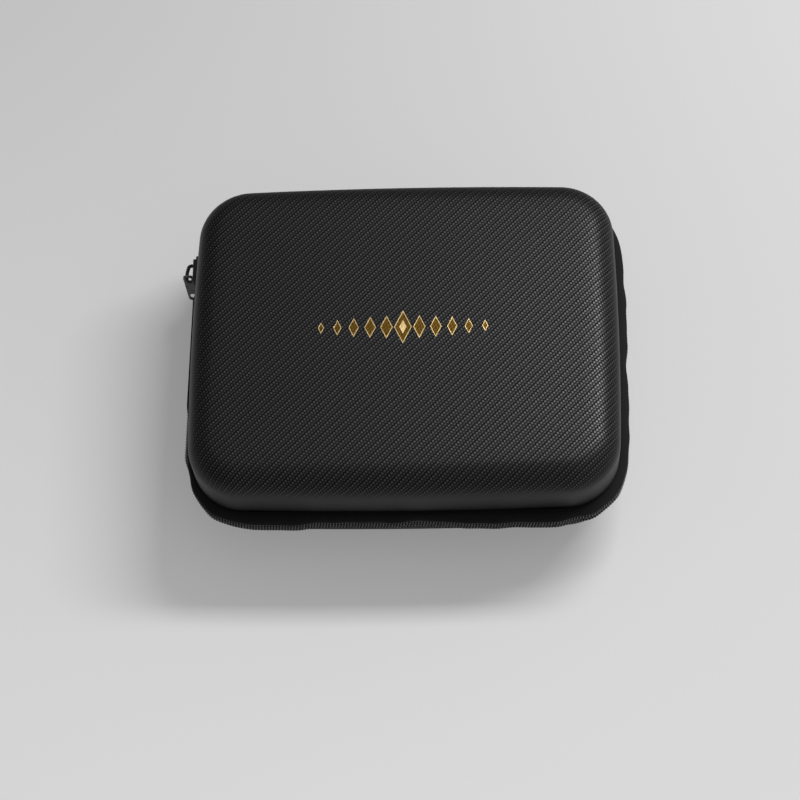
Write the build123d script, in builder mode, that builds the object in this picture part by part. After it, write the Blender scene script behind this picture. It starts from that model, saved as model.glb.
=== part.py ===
from build123d import *
import os
from collections import namedtuple
from math import atan2, cos, degrees, radians, sqrt, tan

# Zippered hard case for an electric shaver, in millimetres.
# Two thermoformed shells, each a laminate of outer fabric, EVA foam and soft lining, meet at a flange.
# A coil zipper runs round the flange from the left rear, past the front, to the right end of the spine.
# +Z is up, the front (-Y) faces the user, the spine is at the back (+Y), and the zip's slider rests
# at the left rear. The origin is on the ground under the middle of the closed case.

os.makedirs("parts", exist_ok=True)

# ---- outline at the zip ----
case_width = 230.0
case_depth = 186.0
corner_front = 39.0
corner_rear = 34.0

# ---- halves ----
base_depth = 26.0            # zip plane down to the underside
lid_height = 41.0            # zip plane up to the top of the lid
base_edge_radius = 12.0
lid_edge_radius = 14.0
dome_inset_x = 4.5           # flange's edge to the moulded wall, at the middle of each side
dome_inset_y = 4.7
bow_x = 2.4                  # how far a wall's corners fall in behind its middle
bow_y = 2.3
dome_corner = 28.0
groove_top = 9.0             # lower lip of the bulging wall, from the zip plane
groove_depth = 2.8
lip_radius = 2.2

# ---- laminate ----
skin = 0.7                   # outer fabric
wall = 6.0                   # outer face to the lining's outer face, at the sides
cap = 5.0                    # the same at the flat top or bottom
lining = 0.6
flange_foam = 1.0

# ---- coil zipper, closed chain 6 mm wide ----
coil_thickness = 2.2
coil_half_width = 3.0
coil_pitch = 1.5
coil_root = 1.0              # zip plane to the strip that carries the coil's heads
head_reach = 0.55            # how far a head passes the zip plane into the other row
tape = 0.6
tape_edge = 0.95             # tape's free edge to the zip plane
tape_rise = 4.3              # straight part of the tape beside the coil
tape_bend = 1.2              # inner radius where the tape turns onto the flange
tape_seam = 2.4              # width sewn flat on the flange
head_margin = 0.3            # side of a head to the coil's face
head_root = 0.05             # how deep a head stands in its strip
chain_overrun = 3.2          # left end of the chain, past the start of the rear corner
spine_margin = 5.0           # spine's end to the start of the rear corner

# ---- slider ----
slider_length = 13.5
slider_rest = 0.2            # chain's end to the slider, with the case closed
slider_head_width = 9.2
slider_tail_width = 7.8
slider_plate = 1.1
slider_head_length = 2.0     # full width, before the plate tapers
slider_corner = 0.8
slider_bevel = 0.35
slider_gap = 0.15            # plate to coil
rail_gap = 0.25              # rail to coil and to tape
wedge_half = 0.7             # the post that joins the slider's plates and parts the rows
wedge_length = 4.6
wedge_rear = 0.8             # wedge to the slider's rear end
wedge_play = 0.6             # wedge to the last heads of the closed chain
crown_radius = 0.9           # half thickness of the bar that the tab hangs on
crown_bevel = 0.5
crown_stand = 4.85           # coil's outer face to the bar's axis
crown_front_gap = 0.8        # bar's front leg to the plate's front end
crown_rear_gap = 1.1
crown_level = 3.0            # level part of the bar behind the tab
crown_drop = 0.9             # how far the bar's rear end lies below it
crown_bends = (1.7, 6.0, 1.5)
tab_place = 4.1              # tab's middle from the slider's front end
tab_thickness = 1.3
tab_length = 24.5            # bar's axis to the lower end
tab_top = 2.0                # bar's axis to the upper end
tab_outer = 2.0              # bar's axis to the outer edge
tab_inner = 3.3
tab_play = 0.2
tab_rim = 0.95               # metal left round the window and the eye
tab_top_round = 1.9
tab_end_flat = 0.2           # straight part left between the lower end's rounds
window_height = 4.6
window_corner = 0.5
eye_height = 6.5
stop_length = 2.1
stop_gap = 0.15
stop_corner = 0.4

# ---- inside ----
fit = 0.3
insert_top = 0.5             # zip plane down to the insert's face
facing = 1.0
pocket_floor = 3.0
net_level = 6.0              # zip plane up to the lid's net
net = 0.8
net_front_span = 14.0        # the net's open edge, behind the middle of the case
elastic_width = 8.0
elastic = 1.4
binding = 0.6
net_frame = 7.0
liner_gap = 0.1              # spine's liner to the bindings
insert_web = 8.0             # foam between a pocket and the insert's rim, or the next pocket
handle_length = 140.0        # head's middle to the handle's end
handle_width = 52.0
head_length = 64.0
head_width = 70.0
head_corner = 26.0
thumb_notch = 26.0           # width of the two notches for finger and thumb
notch_depth = 13.0
notch_place = 84.0           # head's middle to the notches
well_radius = 23.0
slot_length = 64.0
slot_width = 44.0
slot_corner = 11.0

# ---- foil ornament on the lid ----
foil = 0.15
lozenge_pitch = 8.4
lozenge_height = 19.0        # the middle one
lozenge_shape = 0.48         # width over height
lozenge_shares = (0.70, 0.65, 0.58, 0.47, 0.35)   # heights of the others, outwards, over the middle one's
ring_share = 0.72            # the middle one's open ring, and its core
core_share = 0.42

# ---- worked out from the above ----
zip_z = base_depth
tape_in = coil_thickness + tape
flange_edge = tape_in + slider_plate + 2 * rail_gap
flange_top = tape_rise + tape_bend
flange_under = flange_top - skin - flange_foam
inside = wall + lining + fit
rear_corner_x = case_width / 2 - corner_rear
rear_corner_y = case_depth / 2 - corner_rear
spine_half = rear_corner_x - spine_margin
chain_end_y = rear_corner_y + chain_overrun
slider_rear_y = chain_end_y - slider_rest
slider_front_y = slider_rear_y - slider_length
tab_y = slider_front_y + tab_place
tangent = 2 - sqrt(2)        # a 45 degree bevel of this share of a radius touches the round it stands for

Half = namedtuple("Half", "up height edge_radius")
LID = Half(1, lid_height, lid_edge_radius)
BASE = Half(-1, base_depth, base_edge_radius)


def finish(sub, name):
    """Label a finished sub-part, write its STEP file and print its volume."""
    sub.part.label = name
    export_step(sub.part, f"parts/{name}.step")
    print(f"{name:18s} {len(sub.part.solids()):3d} solids {sub.part.volume / 1000:9.2f} cm3")


def at(half, height):
    """Horizontal plane at a height from the zip plane, above it for the lid and below for the base."""
    return Plane.XY.offset(zip_z + half.up * height)


def ends(part, half):
    """Edges furthest from and nearest to the zip plane."""
    groups = part.edges().group_by(Axis.Z)
    return (groups[-1], groups[0]) if half.up > 0 else (groups[0], groups[-1])


# ---- plan outlines, drawn in the current sketch ----
def zip_plan(inset):
    """Outline of the flange and the zip, with tighter corners at the back."""
    Rectangle(case_width - 2 * inset, case_depth - 2 * inset)
    fillet(vertices().group_by(Axis.Y)[0], corner_front - inset)
    fillet(vertices().group_by(Axis.Y)[-1], corner_rear - inset)


def dome_plan(inset):
    """Rounded rectangle whose four sides bow outwards, as a moulded wall does."""
    x = case_width / 2 - dome_inset_x - inset
    y = case_depth / 2 - dome_inset_y - inset
    cx, cy = x - bow_x, y - bow_y
    with BuildLine() as sides:
        ThreePointArc((-cx, -cy), (0, -y), (cx, -cy))
        ThreePointArc((cx, -cy), (x, 0), (cx, cy))
        ThreePointArc((cx, cy), (0, y), (-cx, cy))
        ThreePointArc((-cx, cy), (-x, 0), (-cx, -cy))
    make_face(sides.edges())
    fillet(vertices(), dome_corner - inset)


# ---- solids used to build and to hollow the laminate ----
def facet_shoulder(block, half, radius):
    """Two bevels on the far edge that stand for a round of this radius."""
    lean = radians(22.5)
    for across, down in ((tan(lean), 1.0), (tangent, (1 - sqrt(0.5)) / cos(lean))):
        far_face = block.faces().sort_by(Axis.Z)[-1 if half.up > 0 else 0]
        chamfer(far_face.edges(), across * radius, down * radius, reference=far_face)


def dome_block(half, inset, top_inset, start, shoulder, lip=0.0):
    """The moulded half as a solid block, shrunk by inset and top_inset.

    Its far edge is round where it shows. It has facets under the fabric and one bevel round the lining.
    """
    radius = half.edge_radius - inset
    with BuildPart() as block:
        with BuildSketch(at(half, start)):
            dome_plan(inset)
        extrude(amount=half.up * (half.height - top_inset - start))
        if shoulder == "facets":
            facet_shoulder(block, half, radius)
        elif shoulder == "round":
            fillet(ends(block, half)[0], radius)
        else:
            chamfer(ends(block, half)[0], tangent * radius)
        if lip:
            chamfer(ends(block, half)[1], tangent * lip)
    return block.part


def body_block(half, inset, start, shoulder):
    """Dome and the narrower neck under its lip, down to a start height."""
    dome = dome_block(half, inset, inset, groove_top + inset, shoulder, lip_radius - inset / 2)
    with BuildPart() as block:
        add(dome)
        with BuildSketch(at(half, start)):
            dome_plan(groove_depth + inset)
        extrude(amount=half.up * (groove_top + inset + lip_radius - start))
    return block.part


def flange_plate(half, low, high):
    with BuildPart() as plate:
        with BuildSketch(at(half, low)):
            zip_plan(flange_edge)
        extrude(amount=half.up * (high - low))
    return plate.part


def laminate(half, name):
    """Outer fabric, foam and lining of one half, face to face, and the binding under its flange."""
    outside = body_block(half, 0, flange_top, "round")
    under_skin = body_block(half, skin, flange_under, "facets")
    hollow = dome_block(half, wall, cap, flange_under, "bevel")
    inner = dome_block(half, wall + lining, cap + lining, flange_under, "bevel")
    rim = flange_plate(half, flange_top - skin, flange_top)
    foam_rim = flange_plate(half, flange_under, flange_top - skin)
    band_rim = flange_plate(half, flange_under - binding, flange_under)
    with BuildPart() as cover:
        add(outside)
        add(rim)
        add(under_skin, mode=Mode.SUBTRACT)
    with BuildPart() as shell:
        add(under_skin)
        add(foam_rim)
        add(hollow, mode=Mode.SUBTRACT)
    with BuildPart() as liner:
        add(hollow)
        add(inner, mode=Mode.SUBTRACT)
    with BuildPart() as band:
        add(band_rim)
        with BuildSketch(at(half, flange_under - binding)):
            dome_plan(wall + lining)
        extrude(amount=half.up * binding, mode=Mode.SUBTRACT)
    finish(cover, f"{name}_cover")
    finish(shell, f"{name}_shell")
    finish(liner, f"{name}_lining")
    finish(band, f"{name}_binding")


laminate(BASE, "base")
laminate(LID, "lid")


# ---- foam insert in the base ----
insert_half_x = case_width / 2 - dome_inset_x - inside
insert_half_y = case_depth / 2 - dome_inset_y - inside
insert_face = insert_top + facing
tray_height = base_depth - cap - lining - insert_face


def pocket_plan():
    """Cut-outs for the shaver, two attachments and the lead with its brush, set out from the rim."""
    head_x = -insert_half_x + insert_web + head_length / 2
    rear_y = insert_half_y - insert_web - notch_depth - handle_width / 2
    front_y = -insert_half_y + insert_web + well_radius
    well_x = -insert_half_x + insert_web + well_radius
    with BuildSketch() as cuts:
        with Locations((head_x + handle_length / 2, rear_y)):
            RectangleRounded(handle_length, handle_width, handle_width / 2 - 1)
        with Locations((head_x, rear_y)):
            RectangleRounded(head_length, head_width, head_corner)
        with Locations((head_x + notch_place, rear_y)):
            SlotOverall(handle_width + 2 * notch_depth, thumb_notch, rotation=90)
        with Locations((well_x, front_y), (well_x + 2 * well_radius + insert_web, front_y)):
            Circle(well_radius)
        with Locations((insert_half_x - insert_web - slot_length / 2, front_y)):
            RectangleRounded(slot_length, slot_width, slot_corner)
    return cuts.sketch


pockets = pocket_plan()

with BuildPart() as tray:
    with BuildSketch(at(BASE, insert_face)):
        dome_plan(inside)
    extrude(amount=-tray_height)
    chamfer(tray.edges().group_by(Axis.Z)[0], tangent * (base_edge_radius - wall - lining))
    with BuildSketch(at(BASE, insert_face)):
        add(pockets)
    extrude(amount=-(tray_height - pocket_floor), mode=Mode.SUBTRACT)
finish(tray, "insert_tray")

with BuildPart() as face_sheet:
    with BuildSketch(at(BASE, insert_face)):
        dome_plan(inside)
    extrude(amount=facing)
    with BuildSketch(at(BASE, insert_face)):
        add(pockets)
    extrude(amount=facing, mode=Mode.SUBTRACT)
finish(face_sheet, "insert_facing")


# ---- net pocket in the lid ----
def front_part(low, high, outer, inner=None):
    """Slab of the lid's plan in front of the net's open edge, hollowed to a frame if inner is given."""
    with BuildPart() as slab:
        with BuildSketch(at(LID, low)):
            dome_plan(outer)
        extrude(amount=high - low)
        if inner is not None:
            with BuildSketch(at(LID, low)):
                dome_plan(inner)
            extrude(amount=high - low, mode=Mode.SUBTRACT)
        split(bisect_by=Plane.XZ.offset(-net_front_span), keep=Keep.TOP)
    return slab


finish(front_part(net_level, net_level + net, inside), "net_panel")
finish(front_part(net_level - net, net_level, inside, inside + net_frame), "net_frame")

elastic_half = insert_half_x - net_frame - bow_x / 2
with BuildPart() as hem:
    with BuildSketch(at(LID, net_level)):
        with Locations((0, net_front_span - elastic_width / 2)):
            Rectangle(2 * elastic_half, elastic_width)
    extrude(amount=-elastic)
finish(hem, "net_elastic")


# ---- zip ----
def zip_path(left_end):
    """Outline of the zip from the right end of the spine, past the front, to its left end."""
    x, y = case_width / 2, case_depth / 2
    corners = [(spine_half, y), (x, y), (x, -y), (-x, -y), left_end]
    radii = [corner_rear, corner_front, corner_front]
    if left_end[1] == y:
        corners.insert(4, (-x, y))
        radii.append(corner_rear)
    with BuildLine() as path:
        FilletPolyline(*corners, radius=radii)
    return path.wires()[0].translate((0, 0, zip_z))


def across(path):
    """Plane across the start of the path: local x points outwards, local y upwards."""
    return Plane(origin=path @ 0, x_dir=(0, 1, 0), z_dir=(1, 0, 0))


def tape_outline(half):
    """The tape's section: beside the coil, over the flange's edge, then flat on the flange."""
    up = half.up
    top = flange_top + tape
    outer_cut = tangent * (tape_bend + tape)
    inner_cut = tangent * tape_bend
    sewn = tape_in + tape_bend + tape_seam
    with BuildLine() as edge:
        Polyline(
            (-coil_thickness, up * tape_edge), (-coil_thickness, up * (top - outer_cut)),
            (-coil_thickness - outer_cut, up * top), (-sewn, up * top), (-sewn, up * flange_top),
            (-tape_in - inner_cut, up * flange_top), (-tape_in, up * (flange_top - inner_cut)),
            (-tape_in, up * tape_edge), close=True,
        )
    return edge


around = zip_path((-spine_half, case_depth / 2))
chain = zip_path((-case_width / 2, chain_end_y))


def zip_tape(half, name):
    outline = tape_outline(half)
    with BuildPart() as strip:
        with BuildSketch(across(around)):
            make_face(outline.edges())
        sweep(path=around)
    finish(strip, name)


zip_tape(BASE, "zip_tape_base")
zip_tape(LID, "zip_tape_lid")


def coil_row(half, name, phase):
    """One row of the chain: a strip along the tape, and a head for each turn of the coil."""
    up = half.up
    middle = -coil_thickness / 2
    head_thickness = coil_thickness - 2 * head_margin
    heads_end = slider_rear_y - wedge_rear - wedge_length - wedge_play
    with BuildPart() as head:
        with BuildSketch(Plane.YZ):
            with BuildLine():
                Polyline((-coil_pitch / 2, up * (coil_root + head_root)), (0, -up * head_reach),
                         (coil_pitch / 2, up * (coil_root + head_root)), close=True)
            make_face()
        extrude(amount=head_thickness / 2, both=True)
    places = []
    count = int(chain.length / coil_pitch)
    for turn in range(count):
        reach = (turn + phase) * coil_pitch
        point = chain.position_at(reach, position_mode=PositionMode.LENGTH)
        way = chain.tangent_at(reach, position_mode=PositionMode.LENGTH)
        inward = Vector(way.Y, -way.X, 0)
        if point.X < 0 and point.Y > heads_end:
            continue
        places.append(Location(point - inward * middle, (0, 0, degrees(atan2(-way.X, way.Y)))))
    with BuildPart() as row:
        with BuildSketch(across(chain)):
            with Locations((middle, up * (coil_root + coil_half_width) / 2)):
                Rectangle(coil_thickness, coil_half_width - coil_root)
        sweep(path=chain)
        with Locations(*places):
            add(head.part)
    finish(row, name)


coil_row(BASE, "zip_coil_base", 0.5)
coil_row(LID, "zip_coil_lid", 1.0)


# ---- fabric hinge at the back ----
with BuildPart() as spine:
    upper, lower = tape_outline(LID), tape_outline(BASE)
    with BuildSketch(Plane(origin=(0, case_depth / 2, zip_z), x_dir=(0, 1, 0), z_dir=(1, 0, 0))):
        make_face(upper.edges())
        make_face(lower.edges())
        with Locations((-(coil_thickness + tape_in) / 2, 0)):
            Rectangle(tape, 2 * tape_rise)
    extrude(amount=spine_half - fit, both=True)
finish(spine, "spine_fabric")

liner_half = flange_under - binding - liner_gap
with BuildPart() as spine_lining:
    with Locations((0, case_depth / 2 - flange_edge - fit - tape / 2, zip_z)):
        Box(2 * (spine_half - fit), tape, 2 * liner_half)
finish(spine_lining, "spine_liner")


# ---- stops at the chain's ends ----
def stop(middle, across, along, low, high, name):
    with BuildPart() as clip:
        with Locations((middle[0], middle[1], zip_z + (low + high) / 2)):
            Box(across, along, abs(high - low))
        fillet(clip.edges().filter_by(Axis.Z), stop_corner)
    finish(clip, name)


top_stop_at = (-case_width / 2 + coil_thickness / 2, chain_end_y + stop_gap + stop_length / 2)
stop(top_stop_at, coil_thickness, stop_length, tape_edge, coil_half_width, "top_stop_lid")
stop(top_stop_at, coil_thickness, stop_length, -coil_half_width, -tape_edge, "top_stop_base")
bottom_stop_at = (spine_half - stop_gap - stop_length / 2, case_depth / 2 - coil_thickness / 2)
stop(bottom_stop_at, stop_length, coil_thickness, -coil_half_width, coil_half_width, "bottom_stop")


# ---- slider, on the straight run of the left side ----
left = -case_width / 2


def plate_plan():
    """Outline of the slider's plates: wide at the rear, where the rows part, narrow at the front."""
    head, tail = slider_head_width / 2, slider_tail_width / 2
    shoulder = (slider_front_y + slider_rear_y) / 2
    taper_end = slider_rear_y - slider_head_length
    Polygon(
        (slider_front_y, -tail), (shoulder, -tail), (taper_end, -head), (slider_rear_y, -head),
        (slider_rear_y, head), (taper_end, head), (shoulder, tail), (slider_front_y, tail),
        align=None,
    )
    fillet(vertices(), slider_corner)


def outward(distance):
    """Upright plane facing along Y and Z, this far outside the coil's outer face."""
    return Plane(origin=(left - distance, 0, zip_z), x_dir=(0, 1, 0), z_dir=(1, 0, 0))


with BuildPart() as slider:
    with BuildSketch(outward(slider_gap + slider_plate)):
        plate_plan()
    extrude(amount=slider_plate)
    chamfer(slider.edges().group_by(Axis.X)[0], slider_bevel)
    with BuildSketch(outward(slider_gap)):
        plate_plan()
        with Locations(((slider_front_y + slider_rear_y) / 2, 0)):
            Rectangle(2 * (slider_rear_y - slider_front_y), 2 * (coil_half_width + rail_gap),
                      mode=Mode.SUBTRACT)
    extrude(amount=slider_gap + coil_thickness - rail_gap)
    with BuildSketch(outward(-(tape_in + rail_gap))):
        plate_plan()
    extrude(amount=slider_plate)
    wedge_middle = slider_rear_y - wedge_rear - wedge_length / 2
    with BuildSketch(outward(slider_gap)):
        with Locations((wedge_middle, 0)):
            Polygon((-wedge_length / 2, 0), (0, -wedge_half), (wedge_length / 2, -wedge_half / 2),
                    (wedge_length / 2, wedge_half / 2), (0, wedge_half), align=None)
    extrude(amount=slider_gap + tape_in + rail_gap)
finish(slider, "slider_body")

bar_x = left - crown_stand
seat_x = left - slider_gap - slider_plate
crown_front = slider_front_y + crown_radius + crown_front_gap
crown_rear = slider_rear_y - crown_radius - crown_rear_gap
with BuildPart() as crown:
    with BuildSketch(Plane.XY.offset(zip_z)):
        with BuildLine():
            FilletPolyline(
                (seat_x, crown_rear), (bar_x + crown_drop, crown_rear), (bar_x, tab_y + crown_level),
                (bar_x, crown_front), (seat_x, crown_front), radius=list(crown_bends),
            )
        trace(line_width=2 * crown_radius)
    extrude(amount=crown_radius, both=True)
    rims = crown.faces().filter_by(Axis.Z).edges()
    chamfer(rims.filter_by(lambda edge: edge.center().X < seat_x - fit), crown_bevel)
finish(crown, "slider_crown")

with BuildPart() as tab:
    with BuildSketch(Plane(origin=(bar_x, tab_y + tab_thickness / 2, zip_z), x_dir=(1, 0, 0),
                           z_dir=(0, -1, 0))):
        tab_width = tab_outer + tab_inner
        tab_middle = (tab_inner - tab_outer) / 2
        window_in = tab_inner - tab_rim
        window_out = crown_radius + tab_play
        with Locations((tab_middle, (tab_top - tab_length) / 2)):
            Rectangle(tab_width, tab_length + tab_top)
        fillet(vertices().group_by(Axis.Y)[-1], tab_top_round)
        fillet(vertices().group_by(Axis.Y)[0], (tab_width - tab_end_flat) / 2)
        with Locations(((window_in - window_out) / 2, window_out - window_height / 2)):
            RectangleRounded(window_in + window_out, window_height, window_corner, mode=Mode.SUBTRACT)
        with Locations((tab_middle, -tab_length + tab_rim + eye_height / 2)):
            SlotOverall(eye_height, tab_width - 2 * tab_rim, rotation=90, mode=Mode.SUBTRACT)
    extrude(amount=tab_thickness)
finish(tab, "pull_tab")


# ---- foil ornament: a row of lozenges that shrink outwards from a ringed one ----
def lozenge(height, mode=Mode.ADD):
    half_width, half_height = height * lozenge_shape / 2, height / 2
    Polygon((0, half_height), (half_width, 0), (0, -half_height), (-half_width, 0),
            align=None, mode=mode)


with BuildPart() as ornament:
    with BuildSketch(at(LID, lid_height)):
        lozenge(lozenge_height)
        lozenge(lozenge_height * ring_share, Mode.SUBTRACT)
        lozenge(lozenge_height * core_share)
        for place, share in enumerate(lozenge_shares, start=1):
            with Locations((place * lozenge_pitch, 0), (-place * lozenge_pitch, 0)):
                lozenge(lozenge_height * share)
    extrude(amount=foil)
finish(ornament, "foil_ornament")
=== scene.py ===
# %% [markdown]
# # A zippered hard case for an electric shaver
#
# The case is two moulded shells that meet at a flange. A coil zip runs round the flange, a strip of cloth
# joins the shells at the back, and the outside is a black coated fabric with an embossed weave. The frame
# below is the engineering model: every part at its real size, on the body it moves with. Here the hard parts
# keep their shape and get a finish, and everything made of cloth, yarn or foil is modelled again.

# %% Load the frame
from math import atan2, copysign, cos, dist, hypot, pi, prod, radians, sin, sqrt

import bmesh
import bpy
import numpy as np
from mathutils import Matrix, Vector


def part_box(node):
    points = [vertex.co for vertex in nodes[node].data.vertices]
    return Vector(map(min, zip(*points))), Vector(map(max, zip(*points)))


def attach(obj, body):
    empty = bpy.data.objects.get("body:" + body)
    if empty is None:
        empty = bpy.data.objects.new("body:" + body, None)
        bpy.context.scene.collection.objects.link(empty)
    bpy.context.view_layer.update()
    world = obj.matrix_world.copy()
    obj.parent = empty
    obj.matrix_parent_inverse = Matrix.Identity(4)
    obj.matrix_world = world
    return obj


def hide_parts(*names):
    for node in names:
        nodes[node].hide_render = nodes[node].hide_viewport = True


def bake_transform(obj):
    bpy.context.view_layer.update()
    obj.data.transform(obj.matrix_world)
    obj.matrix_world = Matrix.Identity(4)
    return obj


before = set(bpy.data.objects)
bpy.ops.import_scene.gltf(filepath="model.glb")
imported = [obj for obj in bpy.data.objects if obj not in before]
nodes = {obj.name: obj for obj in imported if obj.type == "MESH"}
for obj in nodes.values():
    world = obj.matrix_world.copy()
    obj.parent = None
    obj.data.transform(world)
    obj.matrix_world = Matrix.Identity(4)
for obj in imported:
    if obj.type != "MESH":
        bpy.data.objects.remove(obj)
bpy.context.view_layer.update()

mm = 0.001
scene = bpy.context.scene
halves = (("lid", 1), ("base", -1))

# %% [markdown]
# ## Sizes
#
# The outline of the case and the height of the zip come from the frame's own boxes. The rest are the sizes
# that the pieces of cloth share, named once here.

# %% Read the main sizes from the frame
coil_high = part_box("zip_coil_lid")[1]
half_width, half_depth = coil_high.x, coil_high.y
stop_low, stop_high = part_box("bottom_stop")
zip_z = (stop_low.z + stop_high.z) / 2
lid_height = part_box("lid_cover")[1].z - zip_z
base_depth = zip_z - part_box("base_cover")[0].z
spine_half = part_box("spine_fabric")[1].x

corner_front, corner_rear = 39 * mm, 34 * mm
dome_inset_x, dome_inset_y = 4.5 * mm, 4.7 * mm  # the moulded wall stands inside the zip
dome_corner = 28 * mm
bow_x, bow_y = 2.4 * mm, 2.3 * mm  # how far its sides bow out
groove_top, groove_depth = 7.1 * mm, 2.8 * mm  # the neck under the bulging wall
lip_radius = 2.2 * mm
lid_shoulder, base_shoulder = 14 * mm, 12 * mm
skin = 0.6 * mm
wall = 6.6 * mm  # outer face to the lining's inner face
coil_thickness = 2.2 * mm
tape = 0.6 * mm  # thickness of the zip tape
tape_edge, tape_rise = 0.95 * mm, 4.3 * mm  # heights of its free edge and of its bend
tape_bend, tape_seam = 1.2 * mm, 2.4 * mm
flange_top = tape_rise + tape_bend
flange_edge, flange_under = 4.4 * mm, 3.8 * mm
print(f"case {2000 * half_width:.0f} x {2000 * half_depth:.0f} mm, zip at {zip_z * 1000:.1f} mm")

# %% [markdown]
# ## Helpers for meshes
#
# Most pieces of a sewn case are strips and skins that follow its outline. Each is one grid of faces, and a
# small function says where each point goes. The seam is merged, the ends are filled, and the texture
# coordinates keep the real distance along and across the strip, so that a weave on it has its true scale.

# %% Make a shaped grid and turn it into a piece
def shaped_grid(along, across, place, length=1.0, width=1.0, fill_ends=True):
    """A grid of faces; place(u, v) gives each point from its share along and across."""
    bm = bmesh.new()
    ribbon = bm.loops.layers.uv.new("ribbon")
    bmesh.ops.create_grid(bm, x_segments=along, y_segments=across, size=0.5)
    for face in bm.faces:
        for loop in face.loops:
            u, v = loop.vert.co.x + 0.5, loop.vert.co.y + 0.5
            loop[ribbon].uv = (u * length, v * width)
    for vert in bm.verts:
        vert.co = place(vert.co.x + 0.5, vert.co.y + 0.5)
    bmesh.ops.remove_doubles(bm, verts=bm.verts, dist=1e-6)
    rim = [edge for edge in bm.edges if edge.is_boundary]
    if fill_ends and rim:
        bmesh.ops.holes_fill(bm, edges=rim, sides=0)
    bmesh.ops.recalc_face_normals(bm, faces=bm.faces)
    return bm


def make_piece(name, bm, material, body, slot, *replaced, flat_above=40):
    """Turn a bmesh into an object that rides on a body and stands for CAD nodes."""
    for face in bm.faces:
        face.smooth = True
    for edge in bm.edges:
        if len(edge.link_faces) == 2:
            edge.smooth = edge.calc_face_angle(0) < radians(flat_above)
    mesh = bpy.data.meshes.new(name)
    bm.to_mesh(mesh)
    bm.free()
    piece = bpy.data.objects.new(name, mesh)
    scene.collection.objects.link(piece)
    mesh.materials.append(material)
    if body:
        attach(piece, body)
    if replaced:
        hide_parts(*replaced)
    print(f"{name}: {len(mesh.polygons)} faces")
    return piece


def smoothstep(low, high, value):
    t = min(max((value - low) / (high - low), 0.0), 1.0)
    return t * t * (3 - 2 * t)


def on_ring(ring, share):
    """The entry of a list at a share of the way along it."""
    return ring[round(share * (len(ring) - 1))]


# %% [markdown]
# ## The outline of the case
#
# The skins use a loop of columns, a fixed number for each side and each corner, so that an inner outline and
# an outer one match column for column. The tape and the coil use distance along the zip, because a coil keeps
# its pitch round a corner.

# %% The loop of columns, for skins
rear_count, corner_count, side_count, front_count = 36, 26, 56, 76
counts = (rear_count, corner_count, side_count, corner_count, front_count, corner_count, side_count,
          corner_count, rear_count)
# (segment, share) of each column, clockwise seen from above, from the middle of the back
columns = [(segment, i / n) for segment, n in enumerate(counts) for i in range(n)] + [(8, 1.0)]


def zip_loop(column, inset):
    """Point of the zip's outline at a column: the even segments are straight, the odd ones are corners."""
    segment, share = column
    x, y = half_width - inset, half_depth - inset
    front, rear = max(corner_front - inset, 0.0), max(corner_rear - inset, 0.0)
    knots = ((0, y), (x - rear, y), (x, y - rear), (x, front - y), (x - front, -y),
             (front - x, -y), (-x, front - y), (-x, y - rear), (rear - x, y), (0, y))
    start, end = Vector(knots[segment]), Vector(knots[segment + 1])
    if segment % 2 == 0:
        return start.lerp(end, share)
    centre = Vector((start.x, end.y) if segment in (1, 5) else (end.x, start.y))
    turn = share * pi / 2
    return centre + (start - centre) * cos(turn) + (end - centre) * sin(turn)


class Dome:
    """The moulded wall's outline: four shallow arcs that bow outwards, joined by round corners."""

    def __init__(self, inset):
        x, y = half_width - dome_inset_x - inset, half_depth - dome_inset_y - inset
        side = ((y - bow_y) ** 2 + bow_x ** 2) / (2 * bow_x)
        front = ((x - bow_x) ** 2 + bow_y ** 2) / (2 * bow_y)
        corner = dome_corner - inset
        side_x, front_y = x - side, y - front
        # the corner's centre lies on both shallow arcs, once they are offset by its radius
        reach_a, reach_b = side - corner, front - corner
        a, b = Vector((side_x, 0)), Vector((0, front_y))
        apart = (b - a).length
        along = (reach_a ** 2 - reach_b ** 2 + apart ** 2) / (2 * apart)
        way = (b - a) / apart
        cx, cy = a + way * along + Vector((-way.y, way.x)) * sqrt(reach_a ** 2 - along ** 2)
        low, high, half = atan2(cy, cx - side_x), atan2(cy - front_y, cx), pi
        self.turns = (half / 2, high, low, -low, -high, high - half, low - half, -low - half, -high - half,
                      -1.5 * half)
        self.centres = ((0, front_y), (cx, cy), (side_x, 0), (cx, -cy), (0, -front_y), (-cx, -cy),
                        (-side_x, 0), (-cx, cy), (0, front_y))
        self.radii = (front, corner, side, corner)

    def at(self, segment, share, offset=0.0):
        """Point at a column, on this outline offset inwards."""
        start, end = self.turns[segment:segment + 2]
        turn = start + (end - start) * share
        x, y = self.centres[segment]
        radius = self.radii[segment % 4] - offset
        return x + radius * cos(turn), y + radius * sin(turn)


outer_dome, inner_dome = Dome(0.0), Dome(wall)


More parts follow.
